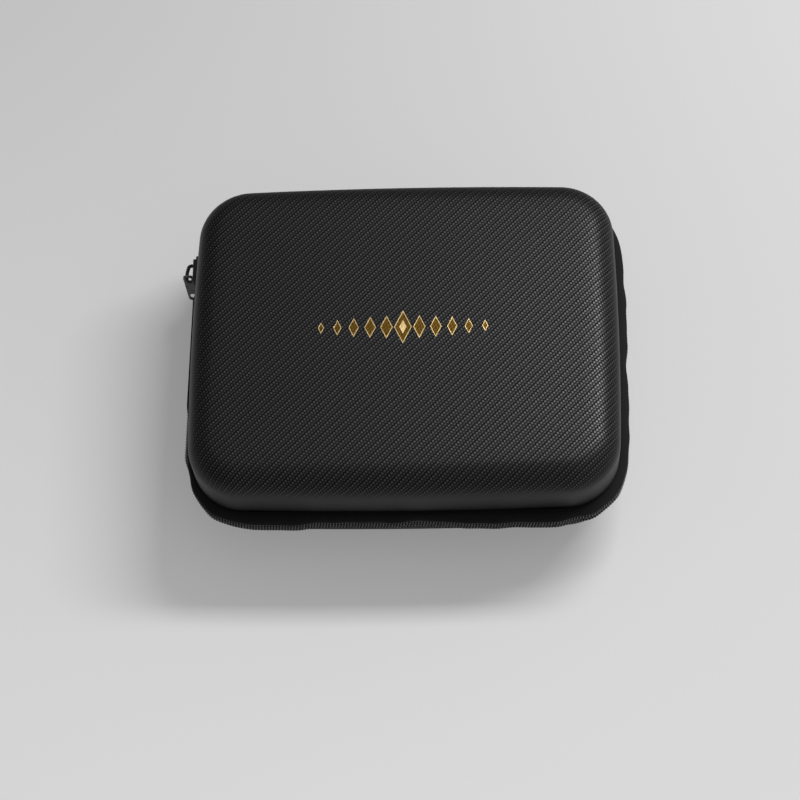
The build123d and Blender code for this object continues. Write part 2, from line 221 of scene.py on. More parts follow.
# %% The zip's path, by distance
class Path:
    """Straight runs joined by arcs, in plan."""

    def __init__(self, corners, radii, step=0.5 * mm):
        points, outward = [], []
        corners, radii = [np.array(corner, float) for corner in corners], [0.0, *radii, 0.0]
        for i, (a, b) in enumerate(zip(corners, corners[1:])):
            way = (b - a) / np.linalg.norm(b - a)
            start, end = a + way * radii[i], b - way * radii[i + 1]
            count = max(2, int(np.linalg.norm(end - start) / step))
            points += [start + (end - start) * share for share in np.linspace(0, 1, count, endpoint=False)]
            outward += [(-way[1], way[0])] * count
            if i == len(corners) - 2:
                break
            after = (corners[i + 2] - b) / np.linalg.norm(corners[i + 2] - b)
            centre = end + after * radii[i + 1]
            count = int(radii[i + 1] * pi / 2 / step)
            for angle in np.linspace(0, pi / 2, count, endpoint=False):
                spoke = way * sin(angle) - after * cos(angle)
                points.append(centre + radii[i + 1] * spoke)
                outward.append(tuple(spoke))
        self.points, self.outward = np.array(points + [end]), np.array(outward + [(-way[1], way[0])])
        gaps = np.linalg.norm(np.diff(self.points, axis=0), axis=1)
        self.reach = np.concatenate([[0], np.cumsum(gaps)])
        self.length = float(self.reach[-1])

    def at(self, distance):
        """Point and outward direction at a distance along the path."""
        point = [np.interp(distance, self.reach, self.points[:, k]) for k in (0, 1)]
        out = np.array([np.interp(distance, self.reach, self.outward[:, k]) for k in (0, 1)])
        return Vector((*point, 0)), Vector((*(out / np.linalg.norm(out)), 0))

    def beside(self, distance, offset, height):
        """Point at an offset outwards from the path and a height above the zip's plane."""
        point, out = self.at(distance)
        return point + out * offset + Vector((0, 0, zip_z + height))


def zip_path(*last):
    """From the right end of the spine, past the front, and on through the last corners."""
    x, y = half_width, half_depth
    corners = [(spine_half + spine_gap, y), (x, y), (x, -y), (-x, -y), *last]
    return Path(corners, (corner_rear, corner_front, corner_front, corner_rear)[:len(corners) - 2])


spine_gap = 0.3 * mm
chain_end_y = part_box("top_stop_lid")[0].y - 0.15 * mm
around = zip_path((-half_width, half_depth), (-spine_half - spine_gap, half_depth))
chain = zip_path((-half_width, chain_end_y))
print(f"zip tape {around.length * 1000:.0f} mm, chain {chain.length * 1000:.0f} mm")

# %% [markdown]
# A sewn zip never lies quite straight. The pucker between stitches is a few waves added together. The eases
# are slower: each gives a place, in millimetres along the zip from the middle of the front, and how many
# millimetres it stands out there. Both die away where the slider runs and at the spine.

# %% Pucker along the zip
slider_zone = chain.length - (chain_end_y + half_depth - corner_front) + 1 * mm
pucker_height = 0.42 * mm
pucker_waves = ((0.50, 4.1 * mm, 0.6), (0.34, 2.63 * mm, 2.1), (0.40, 7.7 * mm, 4.0))
eases = ((-284, 0), (-270, 0.8), (-258, 0), (-240, 0.7), (-232, 0.35), (-220, 1.5), (-200, 1.25), (-181, 0),
         (-165, 1.1), (-147, 0.25), (-128, -0.5), (-112, 1.45), (-98, 1.0), (-86, -0.2), (-68, 0.95),
         (-46, 0.85), (-35, 1.1), (-24, 0.2), (-8, -0.4), (10, 0), (28, -0.2), (46, 0.05), (62, 0.8),
         (76, 0.65), (84, 0.2), (98, 1.5), (108, 0.4), (116, 0.2), (126, -1.1), (132, -1.2), (141, 0))


def from_front(distance):
    """Millimetres along the zip from the middle of the front."""
    return (distance - around.length / 2) / mm


def calm_at(distance):
    """1 where the tape is free, 0 at the spine and where the slider runs."""
    return smoothstep(slider_zone, slider_zone - 9 * mm, distance) * smoothstep(4 * mm, 26 * mm, distance)


def eased(distance):
    """The slow part of the wander, between the places listed above."""
    place = from_front(distance)
    for (a, low), (b, high) in zip(eases, eases[1:]):
        if a <= place < b:
            return (low + (high - low) * smoothstep(a, b, place)) * mm
    return 0.0


def pucker(distance):
    """How far the zip wanders outwards at a distance along it."""
    wave = sum(share * sin(distance / length + phase) for share, length, phase in pucker_waves)
    return calm_at(distance) * (pucker_height * wave + eased(distance))


# %% [markdown]
# ## Helpers for materials
#
# A recipe writes a tree of nodes. Lower-case names are a node's settings and capitalised ones its inputs: a
# plain value sets the socket, and another node's output is linked to it.

# %% Add nodes in one line each
class Recipe:
    def __init__(self, tree):
        self.tree = tree

    def fill(self, node, inputs):
        for name, value in inputs.items():
            socket = node.inputs[name.replace("_", " ") if isinstance(name, str) else name]
            if isinstance(value, bpy.types.NodeSocket):
                self.tree.links.new(value, socket)
            else:
                socket.default_value = (*value, 1) if socket.type == "RGBA" else value
        return node

    def add(self, kind, *values, **named):
        node = self.tree.nodes.new("ShaderNode" + kind)
        for name in [name for name in named if name[0].islower()]:
            setattr(node, name, named.pop(name))
        return self.fill(node, {**dict(enumerate(values)), **named})

    def use(self, group, **inputs):
        """Add a group and return its outputs."""
        return self.fill(self.add("Group", node_tree=group), inputs).outputs

    def maths(self, operation, *values):
        return self.add("Math", *values, operation=operation).outputs[0]

    def times(self, a, b):
        return self.maths("MULTIPLY", a, b)

    def times_plus(self, a, b, c):
        return self.maths("MULTIPLY_ADD", a, b, c)

    def scaled(self, colour, share):
        return self.add("VectorMath", colour, Scale=share, operation="SCALE").outputs[0]

    def along(self, place, way):
        return self.add("VectorMath", place, way, operation="DOT_PRODUCT").outputs["Value"]

    def blended(self, share, low, high):
        """Mix two colours, or numbers where low is a number."""
        number = isinstance(low, (int, float))
        first = 2 if number else 6
        node = self.add("Mix", share, data_type="FLOAT" if number else "RGBA")
        return self.fill(node, {first: low, first + 1: high}).outputs[0 if number else 2]

    def ramp(self, value, low, high):
        """Map low..high to 0..1, softly, and clamp."""
        return self.add("MapRange", value, low, high, 0.0, 1.0, interpolation_type="SMOOTHSTEP").outputs[0]

    def mark(self, name, output="Fac"):
        """A value that the mesh carries on its points."""
        return self.add("Attribute", attribute_name=name).outputs[output]


def grey(srgb):
    """Linear colour of a neutral that shows as this value out of 255."""
    value = srgb / 255
    return (value / 12.92 if value <= 0.04045 else ((value + 0.055) / 1.055) ** 2.4,) * 3


# %% [markdown]
# ## Effects that several materials share
#
# Each effect is a group of nodes: the embossed weave of the covers, which also shows through the foil; a
# plain weave for tapes and ribbons; and a slow change of tone with a little lint, because black cloth is
# never one even black.

# %% Start a group
def new_group(name, numbers, outputs):
    """A group fed a vector and named numbers: its recipe, what it is given, and the node of its results."""
    tree = bpy.data.node_groups.new(name, "ShaderNodeTree")
    tree.interface.new_socket("Vector", in_out="INPUT", socket_type="NodeSocketVector")
    for socket, default in numbers.items():
        made = tree.interface.new_socket(socket, in_out="INPUT", socket_type="NodeSocketFloat")
        made.default_value = default
    for socket in outputs:
        tree.interface.new_socket(socket, in_out="OUTPUT", socket_type="NodeSocketFloat")
    return Recipe(tree), tree.nodes.new("NodeGroupInput").outputs, tree.nodes.new("NodeGroupOutput")


# %% [markdown]
# The embossed weave is a lattice of small round bumps in diagonal rows: the sum of three cosine waves, one
# across the rows, one along them, and one between the two. Three weaker waves at half the rows' pitch make
# every second row stand a little lower. Each wave is given by how many times it takes the rows' wave and the
# dots' wave, its strength and its phase.

# %% The embossed weave
row_spacing, row_angle = 1.63 * mm, 136.2
dot_spacing, dot_angle = 1.46 * mm, 18.8
emboss_waves = ((1, 0, 12.6, 0), (0, 1, 9.4, 0), (1, 1, 6.2, 10), (0.5, 0, 6.6, 51), (0.5, 1, 4.2, -14),
                (-0.5, 1, 2.6, 48))
lowest_hollow = 0.26
crest_sharpness = 1.1


def wave_vector(period, angle):
    """Direction of a wave, with its turns per metre as its length."""
    return Vector((cos(radians(angle)), sin(radians(angle)), 0)) / period


def embossed_weave_group():
    m, given, result = new_group("embossed weave", {}, ("Height", "Crest"))
    rows, dots = wave_vector(row_spacing, row_angle), wave_vector(dot_spacing, dot_angle)
    strongest = sum(strength for _, _, strength, _ in emboss_waves)
    total = 0.5
    for times_rows, times_dots, strength, phase in emboss_waves:
        turns = m.along(given["Vector"], (rows * times_rows + dots * times_dots) * 2 * pi)
        wave = m.maths("COSINE", m.maths("ADD", turns, radians(phase)))
        total = m.times_plus(wave, strength / strongest / 2, total)
    share = m.add("MapRange", total, lowest_hollow, 1.0, 0.0, 1.0).outputs[0]
    height = m.maths("POWER", share, crest_sharpness)
    m.fill(result, {"Height": height, "Crest": m.ramp(height, 0.08, 0.80)})
    return m.tree


def plain_weave_group():
    """Yarns over and under, from distances along and across a ribbon, with their pitch in millimetres."""
    m, given, result = new_group("plain weave", {"Along": 0.7, "Across": 0.5}, ("Height",))
    place = m.add("SeparateXYZ", given["Vector"]).outputs
    waves = [m.maths("SINE", m.maths("DIVIDE", m.times(place[axis], pi / mm), given[pitch]))
             for axis, pitch in enumerate(("Along", "Across"))]
    m.fill(result, {"Height": m.times_plus(m.times(*waves), 0.5, 0.5)})
    return m.tree


def wear_group():
    """Slow change of tone, fine grain, and rare specks of lint."""
    m, given, result = new_group("tone grain and lint", {"Grain": 2500.0}, ("Tone", "Grain", "Lint"))
    place = given["Vector"]
    specks = m.add("TexVoronoi", Vector=place, Scale=130.0, Randomness=1.0).outputs["Distance"]
    m.fill(result, {"Tone": m.add("TexNoise", Vector=place, Scale=22.0, Detail=2.0).outputs[0],
                    "Grain": m.add("TexNoise", Vector=place, Scale=given["Grain"], Detail=3.0).outputs[0],
                    "Lint": m.ramp(specks, 0.045, 0.02)})
    return m.tree


embossed_weave = embossed_weave_group()
plain_weave = plain_weave_group()
wear = wear_group()
print("groups:", [g.name for g in bpy.data.node_groups])

# %% [markdown]
# ## Finishes
#
# The cover's crests are smoother than its hollows and catch the light, and their colour is painted lighter
# than the hollows': a painted highlight on the crests and painted shade in the hollows. Its mesh carries three
# values: weave is 1 where the emboss is whole and 0 where moulding stretched it flat, a value of painted shade
# darkens the groove wholly and the back in part, and unrolled is each point's place with the fabric laid flat,
# so that the weave runs on over the shoulder.

# %% Start a material
class Material(Recipe):
    """The recipe of a piece's surface, with the piece's own coordinates and the tone, grain and lint on it."""

    def __init__(self, name, grain):
        self.material = bpy.data.materials.new(name)
        self.material.use_nodes = True
        super().__init__(self.material.node_tree)
        self.tree.nodes.clear()
        self.place = self.add("TexCoord").outputs["Object"]
        self.tone, self.grain, self.lint = self.use(wear, Vector=self.place, Grain=grain)

    def finish(self, height, distance, colour, rough=None, **inputs):
        """Principled surface over a bump; rough is (share of the grain, lowest roughness)."""
        if rough:
            inputs["Roughness"] = self.times_plus(self.grain, *rough)
        bump = self.add("Bump", Distance=distance, Height=height).outputs[0]
        surface = self.add("BsdfPrincipled", Base_Color=colour, Normal=bump, **inputs)
        self.add("OutputMaterial", Surface=surface.outputs[0])
        return self.material


# %% The covers' coated fabric
flat_gloss = 0.36  # how bright the stretched fabric is, between a hollow and a crest


def cover_material():
    m = Material("coated_weave", 2600.0)
    kept, painted_shade = m.mark("weave"), m.mark("painted_shade")
    relief = m.use(embossed_weave, Vector=m.mark("unrolled", "Vector"))
    flat = m.maths("SUBTRACT", 1.0, kept)
    bright = m.maths("MAXIMUM", m.times(relief["Crest"], kept), m.times(flat, flat_gloss))
    # painted shade: where the mesh carries painted shade, in the groove and on the back, the colour darkens to
    # 30% and the coat goes
    bright = m.times(bright, m.maths("SUBTRACT", 1.0, painted_shade))
    tone = m.times(m.blended(m.tone, 0.86, 1.14), m.blended(painted_shade, 1.0, 0.3))
    # painted highlight and shade: the colour runs from a hollow's grey(6), painted shade, to a crest's
    # grey(44), a painted highlight
    toned = m.scaled(m.blended(bright, grey(6), grey(44)), tone)
    height = m.maths("ADD", m.times(relief["Height"], kept), m.times(m.grain, 0.08))
    return m.finish(height, 0.09 * mm, m.blended(m.times(m.lint, 0.3), toned, grey(80)),
                    (0.10, m.blended(bright, 0.55, 0.36)), Coat_Weight=m.blended(bright, 0.0, 1.0),
                    Coat_Roughness=0.40, Specular_IOR_Level=0.10)


# %% [markdown]
# Tapes, ribbons and the spine share one recipe: the plain weave read from the piece's own distances along and
# across it, dark between yarns, and a little sheen.

# %% Woven ribbons and tapes
def ribbon_material(name, low, high, along, across, depth=0.07, sheen=0.15):
    m = Material(name, 3000.0)
    ribbon = m.add("UVMap", uv_map="ribbon").outputs[0]
    yarn = m.use(plain_weave, Vector=ribbon, Along=along, Across=across)["Height"]
    bright = m.maths("MINIMUM", m.times(yarn, m.blended(m.tone, 0.6, 1.3)), 1.0)
    # painted shade: where the mesh carries painted shade, the yarns lose most of their lighter colour
    bright = m.times(bright, m.blended(m.mark("painted_shade"), 1.0, 0.1))
    return m.finish(m.times_plus(m.grain, 0.3, yarn), depth * mm, m.blended(bright, grey(low), grey(high)),
                    (0.15, 0.72), Specular_IOR_Level=0.2, Sheen_Weight=sheen, Sheen_Roughness=0.4)


# %% Nylon coil and sewing thread
def filament_material(name, low, high, roughness, twist=0.0):
    """Smooth filament or, with a twist, a plied thread; darkened where the mesh carries painted shade."""
    m = Material(name, 1800.0)
    height = m.grain
    if twist:
        plies = m.add("TexWave", Vector=m.place, Scale=twist, Distortion=0.6, bands_direction="DIAGONAL")
        height = m.maths("ADD", plies.outputs[1], height)
    # painted shade: the colour falls to 4% where the mesh carries painted shade
    colour = m.scaled(m.blended(m.tone, grey(low), grey(high)), m.blended(m.mark("painted_shade"), 1.0, 0.04))
    return m.finish(height, 0.04 * mm, colour, (0.2, roughness - 0.1), Specular_IOR_Level=0.3)


# %% [markdown]
# Paint rubs off an edge, so the rounded edges of the castings carry a value called worn, broken up by noise,
# that lets the metal show.

# %% Painted metal
def painted_material(name, srgb, metallic=0.0):
    m = Material(name, 1500.0)
    rubbed = m.times(m.mark("worn"), m.ramp(m.grain, 0.50, 0.66))
    colour = m.scaled(m.blended(rubbed, grey(srgb), grey(srgb + 60)), m.blended(m.tone, 0.85, 1.15))
    return m.finish(m.grain, 0.03 * mm, colour, (0.18, 0.33), Specular_IOR_Level=0.5,
                    Metallic=m.maths("MAXIMUM", m.times(rubbed, 0.8), metallic))


# %% [markdown]
# Hot-stamped foil follows the weave below it. Its face is painted a dark brown, a painted reflection of the
# dark room, and its raised rim a light gold, a painted highlight.

# %% Gold foil
def foil_material(name, colour_low, colour_high, roughness, relief_share):
    m = Material(name, 900.0)
    relief = m.times(m.use(embossed_weave, Vector=m.place)["Height"], relief_share)
    return m.finish(m.maths("ADD", relief, m.times(m.grain, 0.25)), 0.12 * mm,
                    m.blended(m.grain, colour_low, colour_high), (0.2, roughness - 0.1), Metallic=1.0)


# %% Foam, lining and flock
def celled(m, size, random):
    """Distance from the middle of each small cell or loop, size given in millimetres."""
    return m.add("TexVoronoi", Vector=m.place, Scale=1000 / size, Randomness=random).outputs["Distance"]


def foam_material(name, low, high, cell=1.1, depth=0.10):
    """Closed-cell foam: small round cells that show on its cut faces."""
    m = Material(name, 1200.0)
    cells = celled(m, cell, 1.0)
    share = m.maths("MINIMUM", m.times(m.ramp(cells, 0.05, 0.5), m.blended(m.tone, 0.6, 1.2)), 1.0)
    return m.finish(m.times(cells, -1.0), depth * mm, m.blended(share, grey(high), grey(low)), (0.1, 0.85),
                    Specular_IOR_Level=0.25)


def knit_material(name, low, high, pitch=0.9, depth=0.09, sheen=0.35):
    """Brushed knit: small loops with fuzz between them."""
    m = Material(name, 2200.0)
    fuzz = m.times_plus(m.grain, 0.8, m.times(celled(m, pitch, 0.35), -0.9))
    share = m.maths("MINIMUM", m.times(m.ramp(fuzz, -0.5, 0.5), m.blended(m.tone, 0.75, 1.2)), 1.0)
    return m.finish(fuzz, depth * mm, m.blended(share, grey(low), grey(high)), Roughness=0.95,
                    Specular_IOR_Level=0.2, Sheen_Weight=sheen, Sheen_Roughness=0.5)


coated_weave = cover_material()
tape_cloth = ribbon_material("zip_tape_cloth", 7, 26, along=0.8, across=0.55, sheen=0.06)
spine_cloth = ribbon_material("spine_cloth", 18, 46, along=1.1, across=0.8, depth=0.12)
ribbon_cloth = ribbon_material("grosgrain_ribbon", 16, 46, along=1.0, across=4.0, depth=0.10)
elastic_cloth = ribbon_material("elastic_cloth", 18, 52, along=1.2, across=0.5, depth=0.12)
coil_nylon = filament_material("coil_nylon", 135, 175, 0.34)
thread = filament_material("sewing_thread", 12, 30, 0.6, twist=900.0)
seam_thread = filament_material("seam_thread", 3, 9, 0.8, twist=900.0)
net_yarn = filament_material("net_yarn", 22, 46, 0.65, twist=1200.0)
slider_paint = painted_material("slider_paint", 10)
tab_paint = painted_material("tab_paint", 74, metallic=0.35)
# one gold foil in two colours: light gold with a painted highlight for the rims, dark brown with a painted
# reflection of the dark room for the faces
gold_rim_painted_highlight = foil_material("gold_rim_painted_highlight", (0.62, 0.44, 0.17), (0.9, 0.70, 0.38), 0.34, 0.1)
gold_field_painted_reflection = foil_material("gold_field_painted_reflection", (0.062, 0.033, 0.006), (0.13, 0.072, 0.014), 0.46, 0.7)
eva_foam = foam_material("shell_foam", 22, 40)
insert_foam = foam_material("insert_foam", 30, 58, cell=1.4, depth=0.14)
lining_knit = knit_material("lining_knit", 24, 56)
insert_flock = knit_material("insert_flock", 26, 60, pitch=0.6, depth=0.06, sheen=0.5)
print("materials:", len(bpy.data.materials))

# %% [markdown]
# ## The moulded covers
#
# Each half is pressed in a hot mould: a flat flange, a narrow neck, a wall that bulges out over it, and a
# broad rounded shoulder up to a nearly flat top. The profile lists its rings from the flange's edge to the
# middle of the top. The weave fades out down the shoulder, sooner at the back and the left than in front.

# %% The profile of a moulded half
crown = 0.35 * mm  # how far the top swells
crown_left = 0.86 * crown  # what the shoulder's arc leaves of it
top_inset, top_steps = 20 * mm, 14
neck_foot = 0.8 * mm
edge_follow = 0.35  # share of the zip's pucker that the flange's edge follows
# how strong the painted shade on the back of the case is
back_shade_amount = 0.55
# painted shade in the groove under the bulging wall
groove_shade_heights = groove_top + 1.6 * mm, groove_top + 0.2 * mm  # heights where its shade starts and is whole
# where the weave starts and where it is whole, up the shoulder, for each side of the case
weave_fades = {(0, -1): (-0.43, 0.75), (1, 0): (0.15, 0.9), (-1, 0): (0.45, 0.98), (0, 1): (0.45, 0.98)}


def arc_rows(centre_inset, centre_height, radius, start, end, count):
    """Rows along an arc; the angle is 0 where the wall is upright and 90 at the top."""
    for i in range(count + 1):
        turn = radians(start + (end - start) * i / count)
        yield centre_inset - radius * cos(turn), centre_height + radius * sin(turn)


def cover_profile(height, shoulder):
    """Rows of (share of dome outline, inset, height, scale, how far up the shoulder: 0 foot, 1 top)."""
    shoulder_height = height - crown - shoulder
    lip_height = groove_top + lip_radius
    low = [(0.0, 0.0, flange_top)]
    low += [(share, groove_depth - 1.2 * mm * (1 - share), flange_top) for share in (0.3, 0.6, 0.85)]
    low += [(1, groove_depth - 0.25 * neck_foot, flange_top + 0.1 * neck_foot),
            (1, groove_depth, flange_top + neck_foot), (1, groove_depth, groove_top - 0.4 * mm)]
    low += [(1, *row) for row in arc_rows(lip_radius, lip_height, lip_radius, -90, -15, 6)]
    side = [(0.0, lip_height + (shoulder_height - lip_height) * share) for share in (0.15, 0.4, 0.7, 0.85)]
    side += arc_rows(shoulder, shoulder_height, shoulder, 0, 86, 14)
    top = [1 - i / top_steps for i in range(top_steps + 1)]
    return ([(*row, 1, -1.0) for row in low]
            + [(1, inset, h, 1, (h - shoulder_height) / shoulder) for inset, h in side]
            + [(1, top_inset, height - crown_left * scale ** 2, scale, 1) for scale in top])


def unrolled_insets(rows):
    """Each row's inset if the fabric is peeled off and laid flat beyond the edge of the top."""
    flat = [row[1] for row in rows]
    for i in range(flat.index(top_inset) - 1, -1, -1):
        flat[i] = flat[i + 1] - dist(rows[i][1:3], rows[i + 1][1:3])
    return flat


def side_values(up_shoulder, column):
    """How much weave is left at a height on the shoulder, mixed between sides round a corner, and how much
    painted shade the cloth gets behind: it darkens the cloth and takes away its gloss, fading out at the top."""
    outwards = (Vector(outer_dome.at(*column)) - Vector(outer_dome.at(*column, mm))) / mm
    left = sum(max(outwards.x * x + outwards.y * y, 0.0) ** 2 * smoothstep(start, whole, up_shoulder)
               for (x, y), (start, whole) in weave_fades.items())
    return left, back_shade_amount * max(outwards.y, 0.0) ** 2 * smoothstep(1.0, 0.8, up_shoulder)


def spot(point):
    """A key for a point, to find it again after the grid's seam is merged."""
    return tuple(round(c, 6) for c in point)


# %% A skin round the case, and the two covers
loop_points = [zip_loop(column, 0) for column in columns]
reach_at_column = [0.0]
for a, b in zip(loop_points, loop_points[1:]):
    reach_at_column.append(reach_at_column[-1] + (b - a).length)


def skin_grid(rows, place, up, facing):
    """A closed skin; place(column, row) gives each point. Its top faces outwards, or inwards at -1."""
    bm = shaped_grid(len(columns) - 1, len(rows) - 1,
                     lambda u, v: place(round(u * (len(columns) - 1)), on_ring(rows, v)), fill_ends=False)
    top = max(bm.faces, key=lambda face: up * face.calc_center_median().z)
    if top.normal.z * up * facing < 0:
        bmesh.ops.reverse_faces(bm, faces=bm.faces)
    return bm


def thicken(piece, thickness):
    solid = piece.modifiers.new("thickness", "SOLIDIFY")
    solid.thickness = thickness
    solid.offset = -1


def moulded_cover(name, up, height, shoulder, body, node):
    """Outer fabric of one half, with its thickness inwards."""
    profile = cover_profile(height, shoulder)
    marks = {}

    def place(column, row):
        share, inset, h, scale, up_shoulder, flat_inset = row
        x, y = outer_dome.at(*columns[column], inset)
        if share < 1:
            edge_x, edge_y = zip_loop(columns[column], flange_edge)
            x, y = edge_x + (x - edge_x) * share, edge_y + (y - edge_y) * share
            h += edge_follow * (1 - share) * pucker(reach_at_column[column] - spine_half)
        point = Vector((x * scale, y * scale, zip_z + up * h))
        flat = Vector((*outer_dome.at(*columns[column], flat_inset), 0)) * scale
        marks[spot(point)] = (flat, *side_values(up_shoulder, columns[column]))
        return point

    rows = [(*row, flat_inset) for row, flat_inset in zip(profile, unrolled_insets(profile))]
    bm = skin_grid(rows, place, up, 1)
    weave, painted_shade = bm.verts.layers.float.new("weave"), bm.verts.layers.float.new("painted_shade")
    unrolled = bm.verts.layers.float_vector.new("unrolled")
    for vert in bm.verts:
        vert[unrolled], vert[weave], shade_behind = marks[spot(vert.co)]
        # painted shade: the groove and the back of the case are marked to be darkened
        groove = smoothstep(*groove_shade_heights, up * (vert.co.z - zip_z))
        vert[painted_shade] = max(groove, shade_behind)
    thicken(make_piece(name, bm, coated_weave, body, "outer_fabric", node), skin)


moulded_cover("lid_fabric", 1, lid_height, lid_shoulder, "lid", "lid_cover")
moulded_cover("base_fabric", -1, base_depth, base_shoulder, "base", "base_cover")

# %% [markdown]
# ## Zip tapes
#
# Each tape is sewn flat on its flange, bends over the edge and runs down beside the coil: one closed section
# carried along the zip's path. Where the tape is free it wanders with the pucker and its nose bulges over the
# coil, and above the slider's way it stands out in a fold.

# %% The tape's section, carried along the path
bend_offset = coil_thickness + tape + tape_bend  # from the case's outline in to the bend's centre
tape_top = flange_top + tape


def tape_section():
    """(distance out from the case's outline, height) round the tape, starting at its free edge."""
    rise = [tape_edge + (tape_rise - tape_edge) * s for s in (0, 0.3, 0.58, 0.67, 0.76, 0.84, 0.92, 1)]

    def bend(radius, angles):
        return [(radius * cos(radians(a)) - bend_offset, radius * sin(radians(a)) + tape_rise) for a in angles]

    def seam(share, height):
        return -bend_offset - tape_seam * share, height

    return ([(-coil_thickness, h) for h in rise] + bend(tape_bend + tape, range(15, 91, 15))
            + [seam(share, tape_top) for share in (0.35, 0.7, 0.95)]
            + [seam(1, tape_top - 0.15 * mm), seam(1, flange_top + 0.1 * mm), seam(0.95, flange_top),
               seam(0.5, flange_top)]
            + bend(tape_bend, range(90, 14, -15)) + [(-coil_thickness - tape, h) for h in reversed(rise)])


section = tape_section()
fold_height = 1.55
nose_heights = 2.85 * mm, 3.55 * mm
tape_steps, spine_steps, net_ribbon_steps = 340, 90, 200  # faces along each strip
fold_places = (151, 166), (236, 227)  # where the fold rises and dies, in mm along the zip


def zip_tape(name, up, nose, body, node):
    closed = section + section[:1]

    def place(u, v):
        distance = around.length * u
        a, h = on_ring(closed, v)
        free = smoothstep(tape_top, tape_rise, h)
        bulge = smoothstep(*nose_heights, h) * free
        beside_slider = prod(smoothstep(*ends, from_front(distance)) for ends in fold_places)
        bend = smoothstep(tape_rise, tape_rise + 0.75 * mm, h)
        fold = fold_height * beside_slider * bend * max(a + bend_offset, 0.0)
        swell = pucker(distance) * free + nose * bulge * calm_at(distance) + fold
        return around.beside(distance, a + swell, up * h)

    width = sum(dist(a, b) for a, b in zip(section, section[1:]))
    bm = shaped_grid(tape_steps, len(closed) - 1, place, around.length, width)
    # painted shade where the tape lies over its bend and flat in the groove under the wall, and on its face
    # beside the coil below the nose
    painted_shade = bm.verts.layers.float.new("painted_shade")
    for vert in bm.verts:
        h = up * (vert.co.z - zip_z)
        vert[painted_shade] = max(smoothstep(tape_rise + 0.2 * mm, tape_top, h), smoothstep(3.4 * mm, 2.9 * mm, h))
    make_piece(name, bm, tape_cloth, body, "zip_tape", node)


zip_tape("lid_tape", 1, 1.85 * mm, "lid", "zip_tape_lid")
zip_tape("base_tape", -1, 1.3 * mm, "base", "zip_tape_base")

# %% [markdown]
# ## The coil
#
# The teeth are one nylon filament wound into a flattened spiral. The two rows are half a turn apart, reach
# past each other by half a millimetre and lock. A second curve is the thread that sews each turn to the tape.

# %% Wind the coil
coil_pitch = 1.5 * mm
filament = 0.34 * mm
coil_top, head_reach = 3.0 * mm, 0.55 * mm
points_per_turn = 8
thread_radius, thread_height, thread_in, thread_dip = 0.17 * mm, 2.45 * mm, 0.45 * mm, 0.30 * mm
turns_in_chain = int(chain.length / coil_pitch)


def tube_piece(name, points, radius, material, body, slot, *replaced, sides=1, shade_per_point=None):
    """A round tube through points, as a mesh; the last argument gives each point its painted shade."""
    curve = bpy.data.curves.new(name + "_line", "CURVE")
    curve.dimensions = "3D"
    curve.bevel_depth = radius
    curve.bevel_resolution = sides
    curve.use_fill_caps = True
    spline = curve.splines.new("POLY")
    spline.points.add(len(points) - 1)
    for knot, point in zip(spline.points, points):
        knot.co = (*point, 1)
    line = bpy.data.objects.new(name + "_line", curve)
    bm = bmesh.new()
    bm.from_mesh(bpy.data.meshes.new_from_object(line))
    bpy.data.objects.remove(line)
    bpy.data.curves.remove(curve)
    if shade_per_point:
        painted_shade = bm.verts.layers.float.new("painted_shade")
        ring = len(bm.verts) // len(points)
        for vert in bm.verts:
            vert[painted_shade] = shade_per_point[min(vert.index // ring, len(shade_per_point) - 1)]
    make_piece(name, bm, material, body, slot, *replaced, flat_above=80)


def coil_row(name, up, phase, body, node):
    middle_height = (coil_top - head_reach) / 2
    swing = (coil_top + head_reach) / 2 - filament
    points, shade_per_point = [], []
    for i in range(turns_in_chain * points_per_turn):
        turn = 2 * pi * i / points_per_turn
        distance = i * coil_pitch / points_per_turn
        side = sin(turn + phase)
        offset = -coil_thickness / 2 + (coil_thickness / 2 - filament) * side + pucker(distance)
        h = middle_height + swing * cos(turn + phase)
        points.append(chain.beside(distance, offset, up * h))
        # painted shade on the inner half of each turn, towards the tape, and on the lid's row under the tape's
        # nose
        shade_per_point.append(max(smoothstep(0.6, 0.0, side), 0.7 * smoothstep(0.9 * mm, 2.2 * mm, up * h)))
    tube_piece(name, points, filament, coil_nylon, body, "zip_coil", node, shade_per_point=shade_per_point)


def coil_sewing(name, up, body):
    """A line of thread over the turns, dipping between them to the tape."""
    points = []
    for i in range(turns_in_chain * 4):
        distance = i * coil_pitch / 4
        offset = -thread_in + thread_dip * cos(pi / 2 * i) + pucker(distance)
        points.append(chain.beside(distance, offset, up * thread_height))
    tube_piece(name, points, thread_radius, thread, body, "zip_tape", sides=0)


coil_row("lid_coil", 1, 0.0, "lid", "zip_coil_lid")
coil_row("base_coil", -1, pi, "base", "zip_coil_base")
for body, up in halves:
    coil_sewing(body + "_coil_thread_1", up, body)

# %% [markdown]
# ## Seams
#
# A stitch is a short thread that dives into the cloth at both ends, so one small stretched ball per stitch,
# half sunk, is enough.

# %% Rows of stitches
stitch_pitch, stitch_length, stitch_radius = 2.9 * mm, 2.3 * mm, 0.22 * mm


def stitch_row(name, places, body, slot, yarn=thread):
    """One stitch at each (point, direction)."""
    bm = bmesh.new()
    size = Matrix.Diagonal((stitch_radius, stitch_radius, stitch_length / 2, 1))
    for point, way in places:
        made = bmesh.ops.create_uvsphere(bm, u_segments=6, v_segments=4, radius=1.0)
        turn = way.normalized().to_track_quat("Z", "Y").to_matrix().to_4x4()
        bmesh.ops.transform(bm, verts=made["verts"], matrix=Matrix.Translation(point) @ turn @ size)
    make_piece(name, bm, yarn, body, slot)


def along_path(path, offset, height):
    """Places for stitches at an offset outwards from a path and a height above the zip."""
    for i in range(int(path.length / stitch_pitch)):
        distance = (i + 0.5) * stitch_pitch
        out = path.at(distance)[1]
        yield path.beside(distance, offset, height), Vector((out.y, -out.x, 0))


